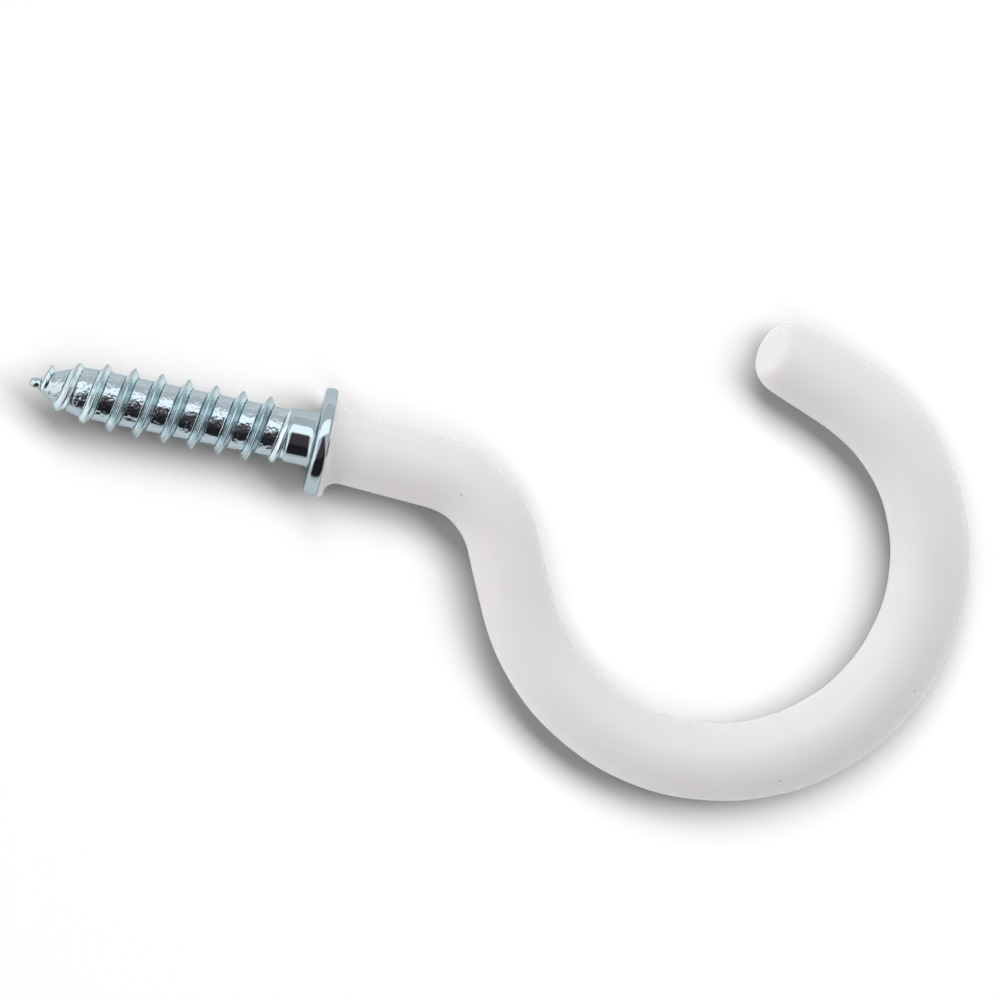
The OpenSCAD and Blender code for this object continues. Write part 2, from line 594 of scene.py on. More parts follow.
@dataclass(frozen=True)
class WhiteVinyl:
    """Dipped white vinyl: satin, a little cloudy, with a few dark specks in it.

    Attributes:
        speck_places: Where each speck lies, in millimetres.
        stain_place: Where the stain's middle lies, on the edge at the collar.
        cool: The white's cooler patches.
        warm: The white's warmer patches.
        dirt: Colour of the specks.
        stain: Colour of the stain.
        speck_r: Distances from a speck's middle where it ends and where it is in full.
        speck_share: How far a speck takes its own colour.
        stain_r: The same from the stain's middle.
        stain_from_edge: The same from the coat's edge.
        wander: Inputs of surface_wander for the cloudy colour and the orange peel.
        clear: Levels of Cloud between which cool turns to warm.
        satin: Least roughness.
        cloudy: Roughness that Cloud adds.
        gloss: Specular level.
        depth: Share of the light that goes in under the surface.
        depth_ratio: How far each colour of it goes, as a share of depth_len.
        depth_len: That length, in millimetres.
        peel_depth: Depth of the orange peel, in millimetres.
        peel_share: Strength of its bump.
    """

    speck_places: tuple[Triple, ...]
    stain_place: Triple
    cool: Colour = (0.79, 0.78, 0.80, 1.0)
    warm: Colour = (0.79, 0.77, 0.76, 1.0)
    dirt: Colour = (0.42, 0.36, 0.32, 1.0)
    stain: Colour = (0.20, 0.10, 0.09, 1.0)
    speck_r: Pair = (0.112, 0.028)
    speck_share: float = 0.6
    stain_r: Pair = (0.65, 0.3)
    stain_from_edge: Pair = (0.1, 0.02)
    wander: Triple = (230.0, 2600.0, 0.12)
    clear: Pair = (0.3, 0.7)
    satin: float = 0.34
    cloudy: float = 0.12
    gloss: float = 0.35
    depth: float = 0.3
    depth_ratio: Triple = (1.0, 0.95, 0.9)
    depth_len: float = 0.5
    peel_depth: float = 0.05
    peel_share: float = 0.35

    def specks(self, shader: Shader) -> bpy.types.NodeSocket:
        """Adds the mask of the specks, which is the greatest of the masks near each of them.

        Args:
            shader: The material's nodes.

        Returns:
            The mask, which is 1 on a speck and 0 off all of them.
        """
        mask: bpy.types.NodeSocket | float = 0.0
        for place in self.speck_places:
            mask = shader.math("MAXIMUM", mask, shader.near(place, *self.speck_r))
        return mask

    def stained(self, shader: Shader) -> bpy.types.NodeSocket:
        """Adds the mask that is 1 on the stain."""
        at_edge = shader.ramp(shader.mask("from_edge"), *self.stain_from_edge)
        return shader.math("MULTIPLY", at_edge, shader.near(self.stain_place, *self.stain_r))

    def material(self, group: bpy.types.NodeTree) -> bpy.types.Material:
        """Builds the material.

        Args:
            group: The surface_wander group.

        Returns:
            A satin white with cloudy colour, specks, a stain and a faint orange peel.
        """
        made, shader, surface = new_finish("white_dipped_vinyl")
        marks = shader.node("Group", *self.wander, node_tree=group).outputs
        white = shader.mix(shader.ramp(marks["Cloud"], *self.clear), self.cool, self.warm)
        white = shader.mix(self.stained(shader), white, self.stain)
        speck = shader.math("MULTIPLY", self.specks(shader), self.speck_share)
        shader.fill(
            surface,
            {
                "Base Color": shader.mix(speck, white, self.dirt),
                "Roughness": shader.math("MULTIPLY_ADD", marks["Cloud"], self.cloudy, self.satin),
                "Specular IOR Level": self.gloss,
                "Subsurface Weight": self.depth,
                "Subsurface Radius": self.depth_ratio,
                "Subsurface Scale": self.depth_len * MM,
                "Normal": shader.bump(marks["Height"], self.peel_depth, self.peel_share),
            },
        )
        return made


# ---- The steel hook ----


@dataclass(frozen=True)
class WoodScrew:
    """The screw below the collar: a point, a rolled thread and a plain shank.

    Attributes:
        length: From the collar's seat to the tip.
        plain_len: Length of the plain shank.
        pitch: Distance between two turns.
        crest_h: Height of the ridge over the root.
        root_drop: How far the root lies below the plain shank.
        point_len: Length of the tapering end.
        point_curve: Roundness of the point, where 1 is a cone.
        point_start: Distances from the tip between which the point grows out of the nub.
        ridge_start: Distances from the tip between which the ridge rises to its full height.
        ridge_dip: How much lower it runs over the swelling point, as a share of its height.
        dip_start: Distances from the tip between which the dip sets in.
        dip_end: Distances from the tip between which it ends.
        ridge_fade: Length over which the ridge fades at the shank.
        crest_half: Half the crest's width, as a share of the pitch.
        crest_round: How far the crest rounds off at its edges, as a share of the height.
        flank_half: Half the ridge's width at its foot, as a share of the pitch.
        flank_curve: How hollow the flanks are, where 1 is straight.
        nub_len: Length of the little nub that the pinched end leaves.
        nub_r: Radius of the nub.
        shoulder: Where the slope from the root up to the shank starts and ends, from the
            shank's start.
        fillet: Radius where the shank meets the collar.
        start_angle: Angle of the crest at the tip, in degrees from +Y, the way the thread turns.
        hand: Which way the thread turns.
        rings_a_turn: How many rings a turn of the thread has.
    """

    length: float = 16.6
    plain_len: float = 1.62
    pitch: float = 1.58
    crest_h: float = 0.52
    root_drop: float = 0.16
    point_len: float = 3.4
    point_curve: float = 1.6
    point_start: Pair = (0.05, 0.85)
    ridge_start: Pair = (0.62, 1.12)
    ridge_dip: float = 0.4
    dip_start: Pair = (1.1, 2.0)
    dip_end: Pair = (3.0, 5.2)
    ridge_fade: float = 1.2
    crest_half: float = 0.04
    crest_round: float = 0.06
    flank_half: float = 0.25
    flank_curve: float = 1.4
    nub_len: float = 0.85
    nub_r: float = 0.31
    shoulder: Pair = (-0.105, 0.195)
    fillet: float = 0.36
    start_angle: float = 120.0
    hand: ThreadHand = ThreadHand.LEFT
    rings_a_turn: int = 72

    @property
    def threaded(self) -> float:
        """Returns the distance from the tip to the plain shank."""
        return self.length - self.plain_len

    def root(self, from_tip: np.ndarray, wire_r: float) -> np.ndarray:
        """Works out the radius between the ridges.

        The point swells as 1 - (1 - d)^n, where d is the share of the point's length from
        the tip, and a half ellipse at the very end gives the nub.

        Args:
            from_tip: Distances from the tip.
            wire_r: Radius of the plain shank.

        Returns:
            The radius at each distance.
        """
        share = np.clip(from_tip / self.point_len, 0.0, 1.0)
        point = (wire_r - self.root_drop) * (1.0 - (1.0 - share) ** self.point_curve)
        swell = np.clip(1.0 - (2.0 * from_tip / self.nub_len - 1.0) ** 2, 0.0, None)
        nub = self.nub_r * np.sqrt(swell)
        return np.maximum(nub, point * smooth_step(from_tip, *self.point_start))

    def shank_rise(self, from_tip: np.ndarray) -> np.ndarray:
        """Works out the rise over the root: 0 in the thread, and root_drop on the plain shank."""
        return self.root_drop * smooth_step(from_tip - self.threaded, *self.shoulder)

    def ridge_height(self, from_tip: np.ndarray) -> np.ndarray:
        """Works out the ridge's height: it rises at the tip, dips, grows again and runs out.

        Args:
            from_tip: Distances from the tip.

        Returns:
            The height over the root at each distance.
        """
        rise = smooth_step(from_tip, *self.ridge_start)
        dip = smooth_step(from_tip, *self.dip_start) * (1.0 - smooth_step(from_tip, *self.dip_end))
        fade = np.sqrt(np.clip((self.threaded - from_tip) / self.ridge_fade, 0.0, 1.0))
        return self.crest_h * rise * (1.0 - self.ridge_dip * dip) * fade

    def ridge_section(self, share: np.ndarray) -> np.ndarray:
        """Works out the ridge's section from 0 on the root to 1 on the crest.

        The crest is a narrow round, and each flank falls as the foot's distance to a power
        a little over 1, which makes it hollow.

        Args:
            share: Distances from the crest's middle, as shares of the pitch.

        Returns:
            The height as a share of the ridge's own.
        """
        away = np.abs(share)
        flank = np.clip((self.flank_half - away) / (self.flank_half - self.crest_half), 0.0, 1.0)
        top = 1.0 - self.crest_round * (away / self.crest_half) ** 2
        side = (1.0 - self.crest_round) * flank**self.flank_curve
        return np.where(away < self.crest_half, top, side)

    def crest_turn(self, from_tip: np.ndarray | float) -> np.ndarray | float:
        """Returns where the crest lies, in turns from +Y: one more turn for each pitch."""
        return self.hand.value * (self.start_angle / 360.0 + from_tip / self.pitch)

    def shares(self) -> np.ndarray:
        """Returns the places round a ring, in shares of a turn from the crest, close on the ridge."""
        foot, crest = self.flank_half, self.crest_half
        return steps((-foot, -crest, crest, foot, 1.0 - foot), (10, 4, 10, 24))[:-1]


@dataclass(frozen=True)
class SteelHook:
    """The whole steel piece, from the screw's tip to the cut end inside the coating.

    Attributes:
        shape: The bent wire's sizes.
        screw: The screw's sizes.
        rim_r: Rounding of the collar's rim on the seat's side, towards the axis.
        rim_len: The same rounding's length along the axis, which leaves the rim a little domed.
        edge_r: Rounding of the rim on the hook's side, towards the axis.
        edge_len: That rounding's length along the axis.
        seat_lean: How far the upset seat stands out of square, in degrees.
        lean_in: Places along X between which the seat's lean sets in on the shank.
        lean_out: Where in the collar the lean starts to fade again.
        rolled_fade: Length over which the marks of rolling fade at the shank.
        ridge_full: Height of the ridge from which its mask is in full.
        shank_gap: Gap between the thread's last ring and the shank's first.
        crease: Angle from which an edge stays sharp, in degrees.
    """

    shape: HookShape
    screw: WoodScrew = field(default_factory=WoodScrew)
    rim_r: float = 0.2
    rim_len: float = 0.42
    edge_r: float = 0.1
    edge_len: float = 0.28
    seat_lean: float = 1.6
    lean_in: Pair = (-1.4, -0.3)
    lean_out: float = 0.1
    rolled_fade: float = 0.3
    ridge_full: float = 0.1
    shank_gap: float = 0.02
    crease: float = 50.0

    def screw_rings(self) -> tuple[np.ndarray, np.ndarray, np.ndarray]:
        """Builds the rings from the tip to the plain shank's foot.

        Each ring turns with the helix, so that one column of points follows the crest.

        Returns:
            The points, and the ridge and rolled masks at each of them.
        """
        screw, wire_r, threaded = self.screw, self.shape.wire_r, self.screw.threaded
        count = int(threaded / screw.pitch * screw.rings_a_turn)
        first, nub_end = 0.012, 0.8
        from_tip = steps((first, nub_end, threaded), (14, count - 1))
        shares = screw.shares()
        height = screw.ridge_height(from_tip)[:, None]
        across = screw.ridge_section((shares + 0.5) % 1.0 - 0.5)[None, :]
        core = screw.root(from_tip, wire_r) + screw.shank_rise(from_tip)
        radius = np.minimum(core[:, None] + height * across, wire_r + screw.crest_h)
        angle = 2.0 * np.pi * (screw.crest_turn(from_tip)[:, None] + shares[None, :])
        x = np.broadcast_to((from_tip - screw.length)[:, None], radius.shape)
        points = np.stack([x, radius * np.cos(angle), radius * np.sin(angle)], axis=-1)
        ridge = across * smooth_step(height, 0.0, self.ridge_full)
        rolled = 1.0 - smooth_step(from_tip, threaded - self.rolled_fade, threaded)
        return points, ridge, np.broadcast_to(rolled[:, None], radius.shape)

    def collar_profile(self) -> np.ndarray:
        """Traces the half section of the shank, fillet and collar, as X and radius.

        The fillet is a quarter circle from the shank to the seat, and each edge of the rim
        is a quarter of a long ellipse.

        Returns:
            The section's points, from the shank's foot to the wire above the collar.
        """
        shape, fillet, rim, edge = self.shape, self.screw.fillet, self.rim_r, self.edge_r
        turn = steps((0.0, QUARTER), (6,))
        shank_x = steps((self.shank_gap - self.screw.plain_len, -fillet), (16,))[:-1]
        shank_r = shape.wire_r - self.screw.root_drop + self.screw.shank_rise(self.screw.length + shank_x)
        over_x = shape.collar_t - self.edge_len * (1.0 - np.sin(turn))
        runs = (
            section(shank_x, shank_r),
            section(fillet * (np.sin(turn) - 1.0), shape.wire_r + fillet * (1.0 - np.cos(turn))),
            section(0.0, steps((shape.wire_r + fillet, shape.collar_r - rim), (6,))[1:-1]),
            section(self.rim_len * (1.0 - np.cos(turn)), shape.collar_r - rim + rim * np.sin(turn)),
            section(over_x, shape.collar_r - edge + edge * np.cos(turn)),
            section(shape.collar_t, steps((shape.collar_r - edge, shape.wire_r), (6,))[1:]),
        )
        return np.concatenate(runs)

    def collar_rings(self, angle: np.ndarray) -> np.ndarray:
        """Turns the section round the screw's axis, with the seat a little out of square.

        The seat's side moves along X by its height above the axis times the lean's tangent,
        which fades out along the shank and through the collar's thickness.

        Args:
            angle: Angles of a ring's points, in radians from +Y.

        Returns:
            The points, as an array of rings, points and three coordinates.
        """
        x, radius = (part[:, None] for part in self.collar_profile().T)
        y, z = radius * np.cos(angle), radius * np.sin(angle)
        share = smooth_step(x, *self.lean_in) * (1.0 - smooth_step(x, self.lean_out, self.shape.collar_t))
        return np.stack([x + np.tan(np.radians(self.seat_lean)) * y * share, y, z], axis=-1)

    def build(self, finish: bpy.types.Material) -> bpy.types.Object:
        """Builds the steel hook as one closed surface.

        Args:
            finish: The plated steel.

        Returns:
            The piece that stands for the CAD's steel hook.
        """
        shape, path = self.shape, self.shape.path
        screw, ridge, rolled = self.screw_rings()
        shares = self.screw.shares()
        angle = 2.0 * np.pi * (self.screw.crest_turn(self.screw.threaded) + shares)
        collar = self.collar_rings(angle)
        along = steps((shape.foot, shape.cut_end - shape.cut_chamfer, shape.cut_end), (220, 2))
        wire = path.rings(along[:, None], shape.wire_radius(along)[:, None], angle[None, :])
        rings = np.concatenate([screw, collar, wire])
        tip = np.array([-self.screw.length, 0.0, 0.0])
        mesh = grid_mesh("steel_hook_surface", rings, (tip, path.point(shape.cut_end)))
        plain = np.zeros((len(collar) + len(wire), len(shares)))
        add_numbers(mesh, "ridge", np.concatenate([ridge, plain]), (0.0, 0.0))
        add_numbers(mesh, "rolled", np.concatenate([rolled, plain]), (1.0, 0.0))
        mesh.set_sharp_from_angle(angle=np.radians(self.crease))
        mesh.materials.append(finish)
        return add_piece("plated_steel_hook", mesh, "steel_hook")


# ---- The coating ----


@dataclass(frozen=True)
class VinylCoating:
    """The dipped coat, from the collar's outer face to the round nose.

    Attributes:
        shape: The bent wire's sizes.
        stem_r: Radius over the coat on the stem.
        swell: How much thicker the radius is at the loop's foot.
        swell_over: Distances along the wire between which it swells.
        thin: How much of that it loses again towards the tip.
        thin_over: Distances along the wire between which it thins.
        lip_r: Radius of the coat's edge at the collar.
        lip_t: Thickness of that edge at the middle.
        lip_uneven: Share by which it is thinner on the mouth's side, and thicker on the other.
        lip_round: How far the edge's rounding reaches in towards the stem.
        flare_len: Length of the flare from the edge to the stem, at its middle.
        flare_more: How much longer it is on the mouth's side, and shorter on the other.
        nose_len: Length of the nose past the straight end.
        nose_curve: Power of the nose's oval, where 2 is an ellipse and more is blunter.
        nose_shave: How much thinner its outer side is, as a share of the radius.
        shave_over: Distances past the path's end between which that sets in.
        flat_depth: Distance from the straight end's middle to the flat on the nose.
        flat_turn: How far the flat faces towards the mouth, in degrees.
        flat_rise: How far the flat faces up, in degrees.
        flat_soft: Rounding of the flat's rim.
        waves: Heights of the three slow waves in the dipped surface.
        waves_in: Distances along the wire between which they set in.
        waves_out: Distances along the wire between which they fade.
        edge_waves: How far two waves of the edge reach over the collar's face.
        sides: Points round a ring.
        crease: Angle from which an edge stays sharp, in degrees.
        specks_at: Where specks lie: distances along the wire, and angles round it in degrees.
        stain_at: Angle of the stain on the edge at the collar, in degrees.
    """

    shape: HookShape
    stem_r: float = 2.07
    swell: float = 0.22
    swell_over: Pair = (13.0, 42.0)
    thin: float = 0.09
    thin_over: Pair = (46.0, 66.0)
    lip_r: float = 3.09
    lip_t: float = 0.19
    lip_uneven: float = 0.8
    lip_round: float = 0.22
    flare_len: float = 1.35
    flare_more: float = 0.33
    nose_len: float = 2.16
    nose_curve: float = 2.15
    nose_shave: float = 0.08
    shave_over: Pair = (-2.0, 0.7)
    flat_depth: float = 1.65
    flat_turn: float = 9.0
    flat_rise: float = 27.0
    flat_soft: float = 0.18
    waves: Triple = (0.010, 0.007, 0.006)
    waves_in: Pair = (2.0, 6.0)
    waves_out: Pair = (63.0, 66.0)
    edge_waves: Pair = (0.03, 0.02)
    sides: int = 96
    crease: float = 55.0
    specks_at: tuple[Pair, ...] = ((9.1, 106.0), (35.5, 130.0), (43.9, 132.0))
    stain_at: float = 95.0

    def radius(self, along: np.ndarray) -> np.ndarray:
        """Works out the coat's radius: thin on the stem, and fullest at the loop's foot."""
        fuller = self.swell * smooth_step(along, *self.swell_over)
        return self.stem_r + fuller - self.thin * smooth_step(along, *self.thin_over)

    def ripple(self, along: np.ndarray, angle: np.ndarray) -> np.ndarray:
        """Works out how far the dipped surface strays.

        It is the sum of three sine waves, which fade at both ends: one sways across the
        wire, one swells it ring by ring, and one winds round it.

        Args:
            along: Distances along the path.
            angle: Angles round the wire, in radians.

        Returns:
            Millimetres to add to the radius.
        """
        bent, ringed, twisted = self.waves
        wave = bent * np.sin(0.83 * along + 1.0 + np.cos(angle)) * np.cos(angle - 0.6)
        wave += ringed * np.sin(1.7 * along + 2.0 * np.sin(angle - 0.9))
        wave += twisted * np.cos(2.0 * angle + 0.31 * along)
        ends = smooth_step(along, *self.waves_in) * (1.0 - smooth_step(along, *self.waves_out))
        return wave * ends

    def shave(self, along: np.ndarray, angle: np.ndarray) -> np.ndarray:
        """Works out how the outer side thins towards the nose, by half of 1 - cos(angle).

        Args:
            along: Distances along the path.
            angle: Angles round the wire, in radians.

        Returns:
            What to multiply the radius by: 1 on the mouth's side, least on the outer side.
        """
        start, full = (self.shape.path.length + place for place in self.shave_over)
        share = self.nose_shave * smooth_step(along, start, full)
        return 1.0 - share * (1.0 - np.cos(angle)) / 2.0

    def edge_wander(self, angle: np.ndarray) -> np.ndarray:
        """Returns how far the edge strays out over the collar's face, in millimetres."""
        slow, quick = self.edge_waves
        return slow * np.sin(2.0 * angle + 0.8) + quick * np.sin(5.0 * angle + 2.0)

    def flare(self, angle: np.ndarray) -> tuple[np.ndarray, np.ndarray, np.ndarray]:
        """Builds the flare's rings, from the collar's face to the stem.

        The section is a quarter of an ellipse that rounds the lip, then a hollow quarter of
        one down to the stem. Its rings turn from square to the screw at the collar to
        square to the leaning stem.

        Args:
            angle: Angles round the wire, in radians.

        Returns:
            Each point's distance along the path, its radius, and each ring's turn back.
        """
        lean = np.radians(-self.shape.lean)
        start = self.shape.collar_t
        lip = self.lip_t * (1.0 - self.lip_uneven * np.cos(angle))
        edge = self.lip_r + self.edge_wander(angle)
        over = steps((0.0, QUARTER), (8,))[:-1, None]
        lip_along = start + lip * np.sin(over)
        lip_radius = edge - self.lip_round * (1.0 - np.cos(over))
        sweep = steps((0.0, QUARTER), (20,))[:, None]
        rise = (self.flare_len + self.flare_more * np.cos(angle)) * (1.0 - np.cos(sweep))
        flare_along = start + lip + rise
        neck = edge - self.lip_round
        flare_radius = neck - (neck - self.radius(flare_along)) * np.sin(sweep)
        along = np.concatenate([lip_along, flare_along])
        radius = np.concatenate([lip_radius, flare_radius])
        middle = along.mean(axis=1, keepdims=True)
        tilt = lean * (1.0 - smooth_step(middle, start, start + self.flare_len))
        return along, radius, tilt

    def nose(self, angle: np.ndarray) -> tuple[np.ndarray, np.ndarray]:
        """Builds the nose's rings: an oval with the power nose_curve.

        The radius is R(1 - t^n)^(1/n), where t is the share of the nose's length.

        Args:
            angle: Angles round the wire, in radians.

        Returns:
            Each ring's distance along the path, and the radius at each of its points.
        """
        share = np.sin(steps((0.0, QUARTER), (60,))[1:-1])
        end_r = float(self.radius(np.array([self.shape.path.length]))[0])
        radius = end_r * (1.0 - share**self.nose_curve) ** (1.0 / self.nose_curve)
        along = (self.shape.path.length + self.nose_len * share)[:, None]
        return along, radius[:, None] * self.shave(along, angle[None, :])

    def flatten(self, points: np.ndarray) -> np.ndarray:
        """Presses the flat on the nose that the drained drip leaves.

        What stands out past the flat's plane by d moves back by (d + sqrt(d^2 + s^2)) / 2,
        which rounds the flat's rim over a length near s.

        Args:
            points: Places in millimetres, as an array that ends in 3.

        Returns:
            The same places, with those past the plane moved back to it.
        """
        _, heading = self.shape.path.at(np.array([self.shape.path.length]))
        turn, rise = float(heading[0]) + np.radians(self.flat_turn), np.radians(self.flat_rise)
        out = np.array([np.cos(rise) * np.cos(turn), np.cos(rise) * np.sin(turn), np.sin(rise)])
        over = (points - self.shape.path.point(self.shape.path.length)) @ out - self.flat_depth
        back = (over + np.sqrt(over**2 + self.flat_soft**2)) / 2.0
        return points - back[..., None] * out

    def build(self, finish: bpy.types.Material) -> bpy.types.Object:
        """Builds the coat as one closed surface: up inside along the wire, and back outside.

        Args:
            finish: The white vinyl.

        Returns:
            The piece that stands for the CAD's coating.
        """
        shape, path, start = self.shape, self.shape.path, self.shape.collar_t
        angle = steps((0.0, 2.0 * np.pi), (self.sides,))[:-1]
        bore = steps((shape.cut_end, shape.cut_end - shape.cut_chamfer, shape.foot, start), (2, 60, 2))
        bore_tilt = np.radians(-shape.lean) * (1.0 - smooth_step(bore, start, shape.foot))[:, None]
        inside = path.rings(bore[:, None], shape.wire_radius(bore)[:, None], angle[None, :], bore_tilt)
        flare_along, flare_radius, tilt = self.flare(angle)
        flared = path.rings(flare_along, flare_radius, angle, tilt)
        tube = steps((0.0, 1.0), (430,))[1:, None]
        tube = flare_along[-1:] * (1.0 - tube) + path.length * tube
        thick = self.radius(tube) * self.shave(tube, angle[None, :])
        tubed = path.rings(tube, thick + self.ripple(tube, angle[None, :]), angle)
        nosed = self.flatten(path.rings(*self.nose(angle), angle))
        rings = np.concatenate([inside, flared, tubed, nosed])
        poles = (path.point(shape.cut_end), self.flatten(path.point(path.length + self.nose_len)))
        mesh = grid_mesh("vinyl_surface", rings, poles)
        from_edge = np.full(rings.shape[:2], 1.0)
        from_edge[: len(inside)] = 0.0
        from_edge[len(inside) : len(inside) + len(flared)] = flare_along - start
        add_numbers(mesh, "from_edge", np.minimum(from_edge, 1.0), (0.0, 1.0))
        mesh.set_sharp_from_angle(angle=np.radians(self.crease))
        mesh.materials.append(finish)
        return add_piece("dipped_vinyl_coating", mesh, "vinyl_coating")

    def edge_point(self, angle: float) -> Triple:
        """Finds a place on the coat's edge at the collar, from its angle in degrees."""
        turn = np.radians(angle)
        return (self.shape.collar_t, float(self.lip_r * np.cos(turn)), float(self.lip_r * np.sin(turn)))

    def surface_point(self, along: float, angle: float) -> Triple:
        """Finds a place on the coat's outside.

        Args:
            along: Its distance along the wire.
            angle: Its angle round the wire, in degrees from the left side to +Z.

        Returns:
            The place, in millimetres.
        """
        where = np.array([[along]])
        point = self.shape.path.rings(where, self.radius(where), np.radians([[angle]]))[0, 0]
        return tuple(float(value) for value in point)


# ---- The studio ----


@dataclass(frozen=True)
class SoftLamp:
    """A square softbox that faces the hook.

    Attributes:
        name: The lamp's name.
        lean: Angle between straight up and the lamp, in degrees.
        turn: Angle of the lamp round the hook, in degrees, clockwise from the view's top.
        spread: The lamp's width and height, in degrees as the hook sees them.
        level: Its brightness, where 1 shows as white.
        colour: Its colour.
        floor_only: Whether it lights the floor alone, past the hook, which still shades it.
        mirrored: Whether the steel reflects it.
    """

    name: str
    lean: float
    turn: float
    spread: Pair
    level: float
    colour: Triple = (1.0, 1.0, 1.0)
    floor_only: bool = False
    mirrored: bool = True


@dataclass(frozen=True)
class Studio:
    """The floor, the lamps, the sky and the camera.

    The hook lies on its collar and its loop, so the floor leans a little in the hook's
    frame, and the camera looks almost straight down on it. Angles are in degrees.

    Attributes:
        pitch: How far the floor rises along +X.
        roll: How far the floor rises along +Y.
        view_lean: How far the camera leans from the floor's normal towards the screw's tip.
        turn: How far the view is turned about the floor's normal.
        centre: The middle of the view, in millimetres.
        view_width: Width of the view, in millimetres.
        camera_away: Distance to the camera, in metres.
        floor_size: Width of the floor, in metres.
        floor_grey: Share of its light that the floor gives back.
        lamp_away: Distance to the lamps, in metres.
        pale: The sky's colour.
        dusk: Colour of its dark patch overhead.
        night: Colour of the patch towards the view's foot.
        patch: Angles from straight up to the view's top, where the patch starts and ends.
        patch_soft: Half the width of its eased edges.
        patch_width: Sines of its half width overhead and at the view's foot.
        patch_widens: The angle over which it widens.
        patch_core: Share of its width that is fully dark.
        nightfall: Angles between which night gives way to dusk.
        lamps: The softboxes.
    """

    pitch: float = 1.39
    roll: float = -0.57
    view_lean: float = 1.25
    turn: float = 11.7
    centre: Pair = (11.1, -1.2)
    view_width: float = 57.14
    camera_away: float = 0.9
    floor_size: float = 4.0
    floor_grey: float = 0.05
    lamp_away: float = 1.5
    pale: Colour = (0.79, 0.81, 0.82, 1.0)
    dusk: Colour = (0.100, 0.070, 0.078, 1.0)
    night: Colour = (0.024, 0.023, 0.027, 1.0)
    patch: Pair = (-82.0, 12.0)
    patch_soft: float = 4.0
    patch_width: Pair = (0.16, 0.75)
    patch_widens: float = 60.0
    patch_core: float = 0.75
    nightfall: Pair = (-40.0, -28.0)
    lamps: tuple[SoftLamp, ...] = (
        SoftLamp("top_softbox", 31.0, 0.0, (76.0, 34.0), 1.0),
        SoftLamp("left_softbox", 62.0, 268.0, (60.0, 50.0), 0.7, (1.0, 0.96, 0.92)),
        SoftLamp("low_softbox", 50.0, 200.0, (70.0, 50.0), 0.32, (1.0, 0.97, 0.94), mirrored=False),
        SoftLamp("right_softbox", 58.0, 140.0, (60.0, 50.0), 0.2, mirrored=False),
        SoftLamp("floor_key", 24.5, 45.0, (64.0, 23.0), 131.0, floor_only=True),
        SoftLamp("floor_fill", 10.0, 228.0, (58.0, 14.0), 60.0, floor_only=True),
    )

    def axes(self, lean: float = 0.0) -> Matrix:
        """Works out directions square to the floor, or leaning over the screw's tip.

        Args:
            lean: How far the outward direction leans from the floor's normal, in degrees.

        Returns:
            The view's right, up and outward directions as a matrix's columns.
        """
        pitch = np.radians(self.pitch + lean)
        rise = Vector((-np.tan(pitch), -np.tan(np.radians(self.roll)), 1.0))
        out = rise.normalized()
        turned = Vector((-np.sin(np.radians(self.turn)), np.cos(np.radians(self.turn)), 0.0))
        right = turned.cross(out).normalized()
        up = out.cross(right).normalized()
        return Matrix((right, up, out)).transposed()

    def lowest(self, pieces: Sequence[bpy.types.Object]) -> float:
        """Finds how low the pieces reach.

        Args:
            pieces: The finished pieces.

        Returns:
            The least distance along the floor's normal, in metres.
        """
        out = np.array(self.axes().col[2])
        depths = []
        for piece in pieces:
            points = np.empty(len(piece.data.vertices) * 3, np.float32)
            piece.data.vertices.foreach_get("co", points)
            depths.append(float((points.reshape(-1, 3) @ out).min()))
        return min(depths)

    def floor_material(self) -> bpy.types.Material:
        """Builds the floor's material.

        Returns:
            A dim matt grey, which the floor's own two lamps light to white but for the shadow.
        """
        made, shader, surface = new_finish("studio_floor")
        grey = (self.floor_grey, self.floor_grey, self.floor_grey, 1.0)
        shader.fill(surface, {"Base Color": grey, "Roughness": 1.0, "Specular IOR Level": 0.0})
        return made

    def floor(self, pieces: Sequence[bpy.types.Object]) -> bpy.types.Object:
        """Lays a wide floor under the pieces.

        Args:
            pieces: The finished pieces, which rest on it.

        Returns:
            The floor.
        """
        half = self.floor_size / 2.0
        corners = [(-half, -half, 0), (half, -half, 0), (half, half, 0), (-half, half, 0)]
        mesh = bpy.data.meshes.new("studio_floor")
        place = Matrix.Translation(self.axes().col[2] * self.lowest(pieces)) @ self.axes().to_4x4()
        mesh.from_pydata([place @ Vector(corner) for corner in corners], [], [(0, 1, 2, 3)])
        mesh.materials.append(self.floor_material())
        floor = bpy.data.objects.new("studio_floor", mesh)
        bpy.context.scene.collection.objects.link(floor)
        return floor

    def lamp(self, lamp: SoftLamp, floor: bpy.types.Object) -> None:
        """Hangs one softbox, whose power is its level times pi times its area.

        Args:
            lamp: What it is like.
            floor: The floor, which a lamp for the floor alone lights.
        """
        lean, turn = np.radians(lamp.lean), np.radians(lamp.turn)
        away = Vector((np.sin(lean) * np.sin(turn), np.sin(lean) * np.cos(turn), np.cos(lean)))
        toward = self.axes() @ away
        light = bpy.data.lights.new(lamp.name, "AREA")
        light.shape = "RECTANGLE"
        light.size, light.size_y = (
            2.0 * self.lamp_away * np.tan(np.radians(angle) / 2.0) for angle in lamp.spread
        )
        light.energy = lamp.level * np.pi * light.size * light.size_y
        light.color = lamp.colour
        holder = bpy.data.objects.new(lamp.name, light)
        centre = Vector((*self.centre, 0.0)) * MM
        holder.location = centre + toward * self.lamp_away
        holder.rotation_euler = toward.to_track_quat("Z", "Y").to_euler()
        holder.visible_camera = False
        holder.visible_glossy = lamp.mirrored
        if lamp.floor_only:
            lit = bpy.data.collections.new(lamp.name + "_lights")
            lit.objects.link(floor)
            holder.light_linking.receiver_collection = lit
        bpy.context.scene.collection.objects.link(holder)

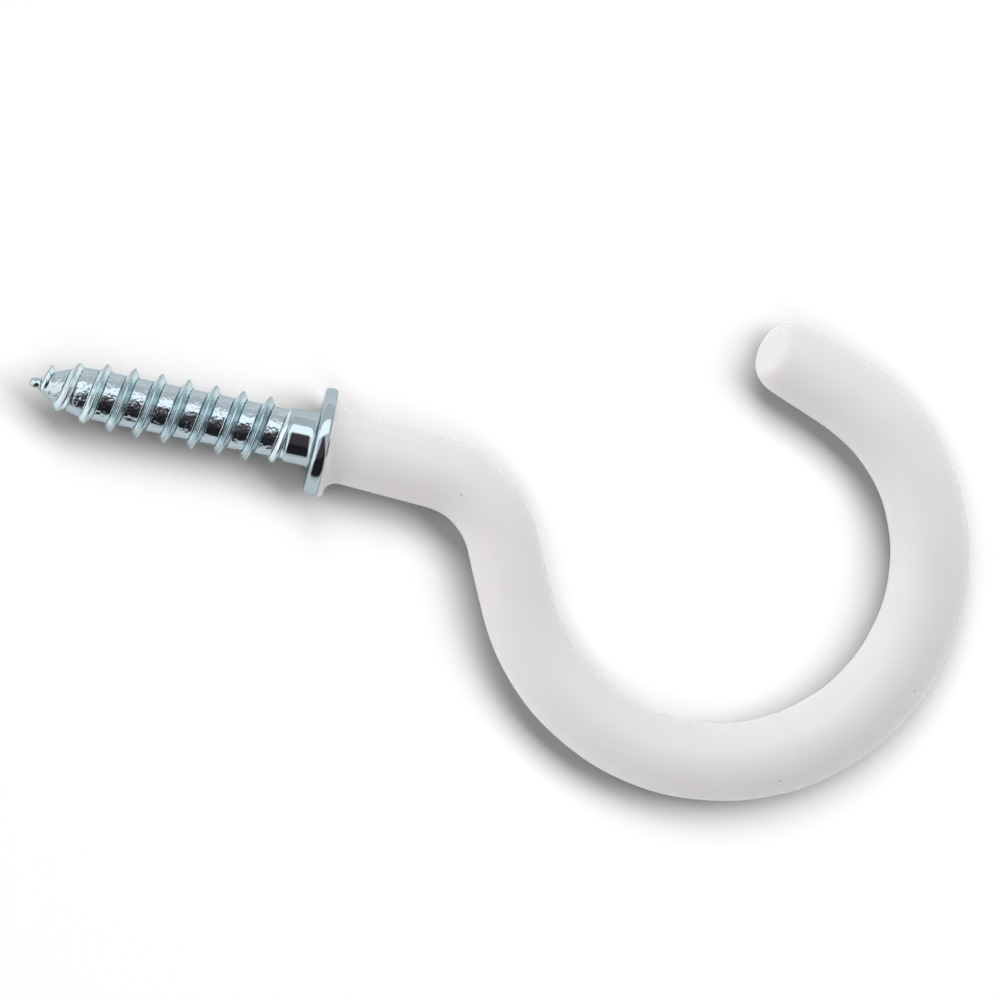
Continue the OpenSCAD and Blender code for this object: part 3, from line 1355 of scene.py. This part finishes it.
    def sky(self) -> None:
        """Makes a plain pale sky with one dark patch, as a dark studio ceiling gives.

        The patch is an eased window on the angle from straight up, as seen along the view's
        right, times one on the sideways angle.
        """
        world = bpy.data.worlds.new("studio_sky")
        bpy.context.scene.world = world
        world.use_nodes = True
        shader = Shader(world.node_tree)
        ray = shader.node("TexCoord").outputs["Generated"]
        right, up, out = (tuple(self.axes().col[i]) for i in range(3))
        sideways, forward, height = (shader.vector("DOT_PRODUCT", ray, way) for way in (right, up, out))
        angle = shader.math("ARCTAN2", forward, height)
        low, high, soft = np.radians((*self.patch, self.patch_soft))
        above = shader.ramp(angle, low - soft, low + soft)
        below = shader.ramp(angle, high + soft, high - soft)
        width = shader.ramp(angle, high, high - np.radians(self.patch_widens), *self.patch_width)
        core = shader.math("MULTIPLY", width, self.patch_core)
        across = shader.ramp(shader.math("ABSOLUTE", sideways), width, core)
        dark = shader.math("MULTIPLY", shader.math("MULTIPLY", above, below), across)
        patch = shader.mix(shader.ramp(angle, *np.radians(self.nightfall)), self.night, self.dusk)
        background = world.node_tree.nodes["Background"]
        shader.put(background.inputs["Color"], shader.mix(dark, self.pale, patch))
        background.inputs["Strength"].default_value = 1.0

    def camera(self) -> None:
        """Sets the camera straight above the floor, with a long lens."""
        data = bpy.data.cameras.new("camera")
        data.sensor_width = 36.0
        data.lens = data.sensor_width * self.camera_away / (self.view_width * MM)
        data.clip_start, data.clip_end = 0.01, 10.0
        camera = bpy.data.objects.new("camera", data)
        axes = self.axes(self.view_lean)
        place = Matrix.Translation(Vector((*self.centre, 0.0)) * MM + axes.col[2] * self.camera_away)
        camera.matrix_world = place @ axes.to_4x4()
        bpy.context.scene.collection.objects.link(camera)
        bpy.context.scene.camera = camera

    def build(self, pieces: Sequence[bpy.types.Object]) -> None:
        """Builds the whole studio round the pieces.

        Args:
            pieces: The finished pieces, which rest on the floor.
        """
        bpy.context.scene.view_settings.view_transform = "Standard"
        floor = self.floor(pieces)
        self.sky()
        for lamp in self.lamps:
            self.lamp(lamp, floor)
        self.camera()


def main() -> None:
    logging.basicConfig(level=logging.INFO, format="%(name)s: %(message)s")
    shape = HookShape()
    wander = surface_wander_group()
    steel = SteelHook(shape).build(PlatedSteel().material(wander))
    coating = VinylCoating(shape)
    specks = tuple(coating.surface_point(*place) for place in coating.specks_at)
    vinyl = WhiteVinyl(specks, coating.edge_point(coating.stain_at))
    coat = coating.build(vinyl.material(wander))
    Studio().build((steel, coat))


if __name__ == "__main__":
    main()
